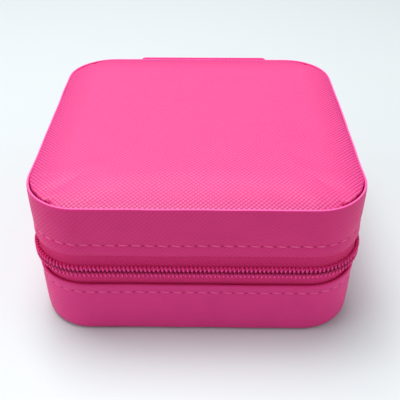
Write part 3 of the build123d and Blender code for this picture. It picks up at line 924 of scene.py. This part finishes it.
def seam_round(height, out):
    """Places of the stitches of a seam round the wall, except under the strap."""
    places = []
    strap_left, strap_right = strap_low.x - 2 * MM, strap_high.x + 2 * MM
    for number in range(round(ROUND / STITCH_PITCH)):
        run = (number + 0.5) * STITCH_PITCH
        place = wall_frame(run) @ Matrix.Translation((0, out, height))
        in_front = place.translation.y < HALF - CORNER / 2
        if in_front or not strap_left < place.translation.x < strap_right:
            places.append(place)
    return places


lid_places = seam_round(LID_STITCH_Z, -0.1 * MM)
base_places = seam_round(BASE_STITCH_Z, -0.1 * MM)
stitches("lid_seam", lid_places, 2.7 * MM, "lid", sunk=0.04 * MM, waves=LID_WAVES)
stitches("base_seam", base_places, 2.6 * MM, "base", sunk=0.1 * MM, waves=BASE_WAVES)

# %% [markdown]
# ## The hinge strap
# One strap of leathercloth is sewn over the back of the lid and the base, and a strip of cloth
# lines the gap between the two rims. They bend when the lid opens, so each is one sheet with
# many level cuts across the gap, and it is blended between the two bodies.

# %% Strap and lining
hinge_low = Vector((0, HALF, base_high.z))
hinge_high = Vector((0, HALF, band_low.z))
BEND_STEP = 0.8 * MM                # height between the level cuts


def upright_sheet(low, high, rounding):
    """A flat sheet on the back of a box, with round corners and level cuts across the hinge."""
    mesh = bmesh.new()
    cloth = mesh.loops.layers.uv.new("cloth")
    centre = Vector(((low.x + high.x) / 2, high.y, (low.z + high.z) / 2))
    size = Matrix.Diagonal(((high.x - low.x) / 2, (high.z - low.z) / 2, 1, 1))
    stand = Matrix.Translation(centre) @ Matrix.Rotation(math.pi / 2, 4, "X") @ size
    bmesh.ops.create_grid(mesh, x_segments=1, y_segments=1, size=1.0, matrix=stand)
    bmesh.ops.bevel(
        mesh, geom=mesh.verts[:], offset=rounding, offset_type="OFFSET", segments=5, profile=0.5,
        affect="VERTICES", material=-1, clamp_overlap=True)
    for height in stops_between(low.z, high.z, BEND_STEP)[1:-1]:
        geometry = mesh.verts[:] + mesh.edges[:] + mesh.faces[:]
        bmesh.ops.bisect_plane(mesh, geom=geometry, plane_co=(0, 0, height), plane_no=(0, 0, 1))
    bmesh.ops.recalc_face_normals(mesh, faces=mesh.faces)
    if sum(face.normal.y for face in mesh.faces) < 0:
        bmesh.ops.reverse_faces(mesh, faces=mesh.faces)
    for face in mesh.faces:
        for loop in face.loops:
            loop[cloth].uv = (loop.vert.co.x, loop.vert.co.z)
    return mesh


def ease_edges(piece, width):
    """Round off a piece's sharp edges."""
    ease = piece.modifiers.new("eased_edge", "BEVEL")
    ease.width = width
    ease.segments = 2
    ease.limit_method = "ANGLE"
    ease.angle_limit = math.radians(50)


strap_leathercloth = leathercloth("cross_grain_leathercloth_strap", on_wall=True, grain=0.4)
strap_leathercloth_flat = leathercloth("cross_grain_leathercloth_tabs", on_wall=False, grain=0.5)

base_strap_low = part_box("lower_hinge_strap")[0]
strap_mesh = upright_sheet(base_strap_low, strap_high, 2 * MM)
strap = finished("hinge_strap", strap_mesh, None, [strap_leathercloth])
thicken(strap, strap_high.y - strap_low.y)
ease_edges(strap, 0.3 * MM)
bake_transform(strap, "base", "lid", start=hinge_low, end=hinge_high)
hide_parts("lower_hinge_strap", "upper_hinge_strap")

lining_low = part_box("lower_hinge_lining")[0]
lining_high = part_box("upper_hinge_lining")[1]
lining_mesh = upright_sheet(lining_low, lining_high, 0.3 * MM)
lining = finished("hinge_lining", lining_mesh, None, [velvet])
thicken(lining, 0.5 * MM)
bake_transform(lining, "base", "lid", start=hinge_low, end=hinge_high)
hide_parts("lower_hinge_lining", "upper_hinge_lining")


# %% The strap's border stitching
def strap_seam():
    """Places of the stitches round the strap's border: two uprights and two level rows."""
    inset = 2.2 * MM
    left, right = strap_low.x + inset, strap_high.x - inset
    low, high = base_strap_low.z + inset, strap_high.z - inset
    face = Matrix.Translation((0, strap_high.y, 0))
    upright = Matrix.Rotation(math.pi / 2, 4, "Y")
    places = []
    for height in stops_between(low, high, STITCH_PITCH)[:-1]:
        middle = height + STITCH_PITCH / 2
        places += [face @ Matrix.Translation((x, 0, middle)) @ upright for x in (left, right)]
    for x in stops_between(left, right, STITCH_PITCH)[:-1]:
        places += [face @ Matrix.Translation((x + STITCH_PITCH / 2, 0, z)) for z in (low, high)]
    return places


strap_stitches = stitches("strap_seam", strap_seam(), 2.9 * MM, None)
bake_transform(strap_stitches, "base", "lid", start=hinge_low, end=hinge_high)

# %% [markdown]
# ## Boards and the bottom
# The boards are hidden once the case is covered, but they are real pieces with the right shape
# already, so they keep their meshes and get a greyboard finish. The bottom is one more piece of
# leathercloth, glued flat under the base.

# %% Boards and bottom
for node in ("base_frame", "base_bottom_board", "lid_frame", "lid_top_board"):
    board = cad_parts[node]
    board.data.materials.clear()
    board.data.materials.append(greyboard)

softened("base_bottom_cover", 0.35 * MM, panel_leathercloth, "base", 3)

# %% [markdown]
# ## The velvet inside
# Card with velvet on it lines both trays and makes the partition, the slotted strip and the two
# lift-out dividers. Pile rounds every edge a little, so these are soft-edged copies.

# %% Velvet trays, partition and dividers
PILE_EDGE = 0.35 * MM
for node, body in (
    ("base_lining", "base"), ("partition", "base"), ("slotted_strip", "base"),
    ("front_divider", "front_divider"), ("rear_divider", "rear_divider"), ("lid_lining", "lid"),
):
    softened(node, PILE_EDGE, velvet, body)

# %% [markdown]
# ## Turned-over lining
# The board loops end in a raw rim beside the zipper. On the real case the lining's velvet is
# turned over each rim and glued, so a soft strip is swept round each one to hide the board.

# %% Turned-over rims
def turned_over(name, rim_node, rim_z, away, body):
    """Velvet glued over the rim of a board loop. away is 1 for a rim that faces up, -1 for down."""
    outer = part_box(rim_node)[1].x - HALF
    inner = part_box("base_lining")[1].x - HALF
    middle = (outer + inner) / 2
    profile = [
        (outer + 0.15 * MM, rim_z - away * 1.2 * MM), (outer + 0.15 * MM, rim_z + away * 0.05 * MM),
        (outer - 0.5 * MM, rim_z + away * 0.3 * MM), (middle, rim_z + away * 0.34 * MM),
        (inner + 0.5 * MM, rim_z + away * 0.28 * MM), (inner + 0.03 * MM, rim_z + away * 0.02 * MM),
        (inner + 0.03 * MM, rim_z - away * 1.2 * MM),
    ]
    finished(name, sweep(profile, whole_wall, joined=True), body, [velvet])


turned_over("base_rim_velvet", "base_frame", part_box("base_frame")[1].z, 1, "base")
turned_over("lid_rim_velvet", "lid_frame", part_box("lid_frame")[0].z, -1, "lid")

# %% [markdown]
# ## Ring rolls
# Each roll is velvet sewn round a bar of soft foam. It starts a little smaller than the node,
# is remeshed to a fine even skin and blown up as cloth, so its sides crown and its ends pull in.
# A point may move only a little: the next roll holds it, and rings need the gap between them.

# %% Ring rolls
ROLL_VOXEL = 1.25 * MM
ROLL_SHRINK = 0.45 * MM


def ring_roll(node):
    """One roll: shrunk, given a fine even skin, blown up, and rounded off."""
    low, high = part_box(node)
    centre, size = (low + high) / 2, high - low
    mesh = node_mesh(node)
    shares = [(length - 2 * ROLL_SHRINK) / length for length in size]
    shrink = Matrix.Translation(centre) @ Matrix.Diagonal((*shares, 1)) @ Matrix.Translation(-centre)
    bmesh.ops.transform(mesh, matrix=shrink, verts=mesh.verts)
    roll = finished("velvet_" + node, mesh, None, [velvet])
    remesh = roll.modifiers.new("skin", "REMESH")
    remesh.mode = "VOXEL"
    remesh.voxel_size = ROLL_VOXEL
    remesh.use_smooth_shade = True
    with bpy.context.temp_override(object=roll, active_object=roll):
        bpy.ops.object.modifier_apply(modifier=remesh.name)
    puff(roll, pressure=4.0, cap=ROLL_SHRINK)
    subdivide(roll)
    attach(roll, "base")
    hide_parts(node)


for node in sorted(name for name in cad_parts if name.startswith("ring_roll")):
    ring_roll(node)

# %% [markdown]
# ## Necklace tabs and snaps
# Three straps hang from a strip near the lid's front. A chain is laid under a strap and the
# snap closes over it. The straps are leathercloth with a sewn border; the snap's cap and stud
# are turned shapes, so each is a profile spun about its own axis.

# %% Tabs
TAB_SEAM = 1.3 * MM
TAB_STITCH = 2.2 * MM
softened("tab_strip", 0.3 * MM, strap_leathercloth_flat, "lid", 3)
for number in (1, 2, 3):
    node = f"necklace_tab_{number}"
    softened(node, 0.3 * MM, strap_leathercloth_flat, node, 3)
    low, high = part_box(node)
    under = Matrix.Translation((0, 0, low.z)) @ Matrix.Rotation(-math.pi / 2, 4, "X")
    lengthwise = Matrix.Rotation(math.pi / 2, 4, "Y")
    places = []
    for y in stops_between(low.y + 2.0 * MM, high.y - 3.6 * MM, TAB_STITCH)[:-1]:
        middle = y + TAB_STITCH / 2
        for x in (low.x + TAB_SEAM, high.x - TAB_SEAM):
            places.append(Matrix.Translation((x, middle, 0)) @ under @ lengthwise)
    stitches(f"tab_seam_{number}", places, 1.6 * MM, node, sunk=0.05 * MM)

# %% Snaps
SPIN_STEPS = 32
CAP_PROFILE = [
    (0, 0), (0.35, 0.03), (0.7, 0.12), (0.84, 0.2), (0.88, 0.27), (0.93, 0.22), (1, 0.3), (1, 0.5),
    (0.9, 0.54), (0.55, 0.54), (0.55, 1), (0, 1)]
STUD_PROFILE = [
    (0, 0), (0.3, 0.04), (0.4, 0.2), (0.34, 0.55), (0.4, 0.66), (0.9, 0.7), (1, 0.8), (1, 1), (0, 1)]


def turned(name, node, profile, body):
    """A turned piece: (share of radius, share of height) points spun about the node's axis."""
    low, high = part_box(node)
    radius, depth = (high.x - low.x) / 2, high.z - low.z
    foot = Vector(((low.x + high.x) / 2, (low.y + high.y) / 2, low.z))
    mesh = bmesh.new()
    points = [mesh.verts.new((out * radius, 0, up * depth)) for out, up in profile]
    line = [mesh.edges.new(pair) for pair in zip(points, points[1:])]
    bmesh.ops.spin(
        mesh, geom=points + line, cent=(0, 0, 0), axis=(0, 0, 1), angle=2 * math.pi, steps=SPIN_STEPS,
        use_merge=True)
    bmesh.ops.remove_doubles(mesh, verts=mesh.verts, dist=0.005 * MM)
    bmesh.ops.translate(mesh, vec=foot, verts=mesh.verts)
    bmesh.ops.recalc_face_normals(mesh, faces=mesh.faces)
    piece = finished(name, mesh, body, [brass])
    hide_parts(node)


for number in (1, 2, 3):
    turned(f"snap_dome_{number}", f"snap_cap_{number}", CAP_PROFILE, f"necklace_tab_{number}")
    turned(f"snap_post_{number}", f"snap_stud_{number}", STUD_PROFILE, "lid")

# %% [markdown]
# ## The gathered pouch
# The pouch on the lid's ceiling is a flat piece of velvet, cut about a sixth wider than the ceiling and
# gathered along an elastic at its mouth. Its folds are deepest at the elastic and die out towards the sewn
# rear edge. A grid has the cut's rows, and a smooth wave makes the folds.

# %% Folds of the pouch
GATHERS = 17
MOUTH_FOLD = 1.2 * MM
REAR_FOLD = 0.12 * MM
CLOTH_BELLY = 0.7 * MM              # how far the cloth hangs at its edges, and again in its middle
POUCH_COLUMNS = 204
POUCH_ROWS = 30
pocket_low, pocket_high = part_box("lid_pocket")
pocket_size = pocket_high - pocket_low
pocket_draw = random.Random(3)
phases = [pocket_draw.uniform(-0.5, 0.5) for _ in range(4)]


def pocket_height(x, y):
    """Height of the cloth: a low dome held at three edges, with folds that run from the mouth."""
    across = (x - pocket_low.x) / pocket_size.x
    back = (y - pocket_low.y) / pocket_size.y
    fold = MOUTH_FOLD + (REAR_FOLD - MOUTH_FOLD) * back ** 0.6
    drifts = [math.sin(2 * math.pi * across * (k + 1) + phase * 6) for k, phase in enumerate(phases)]
    waver = sum(drifts) / 4
    wave = math.sin(2 * math.pi * (GATHERS * across + 0.35 * waver * (1 - back)))
    sides = min(1.0, min(across, 1 - across) * 12)
    rear = min(1.0, (1 - back) * 5)
    dome_across = math.sin(math.pi * min(1.0, across)) ** 0.5
    dome_back = math.sin(math.pi * min(1.0, 0.12 + 0.88 * back)) ** 0.7
    hang = CLOTH_BELLY + CLOTH_BELLY * dome_across * dome_back + fold * (0.5 + 0.5 * wave)
    return pocket_high.z - 0.5 * MM - min(sides, rear) * hang


# %% Gathered pouch
pocket_mesh = bmesh.new()
pocket_middle = (pocket_low + pocket_high) / 2
bmesh.ops.create_grid(
    pocket_mesh, x_segments=POUCH_COLUMNS, y_segments=POUCH_ROWS, size=1.0,
    matrix=Matrix.Translation((pocket_middle.x, pocket_middle.y, 0))
    @ Matrix.Diagonal((pocket_size.x / 2, pocket_size.y / 2, 1, 1)))
for vertex in pocket_mesh.verts:
    vertex.co.z = pocket_height(vertex.co.x, vertex.co.y)
bmesh.ops.reverse_faces(pocket_mesh, faces=pocket_mesh.faces)
pouch = finished("gathered_pouch", pocket_mesh, None, [velvet])
thicken(pouch, 0.45 * MM)
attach(pouch, "lid")
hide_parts("lid_pocket")

# %% [markdown]
# ## The pouch's elastic
# A narrow woven band runs in the pouch's mouth. Where each gather draws it together it is a
# little narrower and thinner, so the same count of waves runs along it.

# %% Elastic
ELASTIC_SQUEEZE = 0.12              # half of the share that a gather takes off the band
elastic_low, elastic_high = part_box("pocket_elastic")
elastic_middle, elastic_size = (elastic_low + elastic_high) / 2, elastic_high - elastic_low
elastic_mesh = bmesh.new()
bmesh.ops.create_cube(
    elastic_mesh, size=1.0,
    matrix=Matrix.Translation(elastic_middle) @ Matrix.Diagonal((*elastic_size, 1)))
ends = [(edge, *edge.verts) for edge in elastic_mesh.edges]
lengthwise = [edge for edge, first, second in ends if abs(first.co.x - second.co.x) > 1 * MM]
bmesh.ops.subdivide_edges(
    elastic_mesh, edges=lengthwise, cuts=GATHERS * 6 - 1, use_grid_fill=True)
for vertex in elastic_mesh.verts:
    across = (vertex.co.x - elastic_low.x) / elastic_size.x
    squeeze = 1 - ELASTIC_SQUEEZE * (1 + math.sin(2 * math.pi * GATHERS * across))
    vertex.co.y = elastic_middle.y + (vertex.co.y - elastic_middle.y) * squeeze
    vertex.co.z = elastic_middle.z + (vertex.co.z - elastic_middle.z) * squeeze
elastic_band = finished("gathered_elastic", elastic_mesh, "lid", [elastic_weave])
ease_edges(elastic_band, 0.2 * MM)
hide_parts("pocket_elastic")
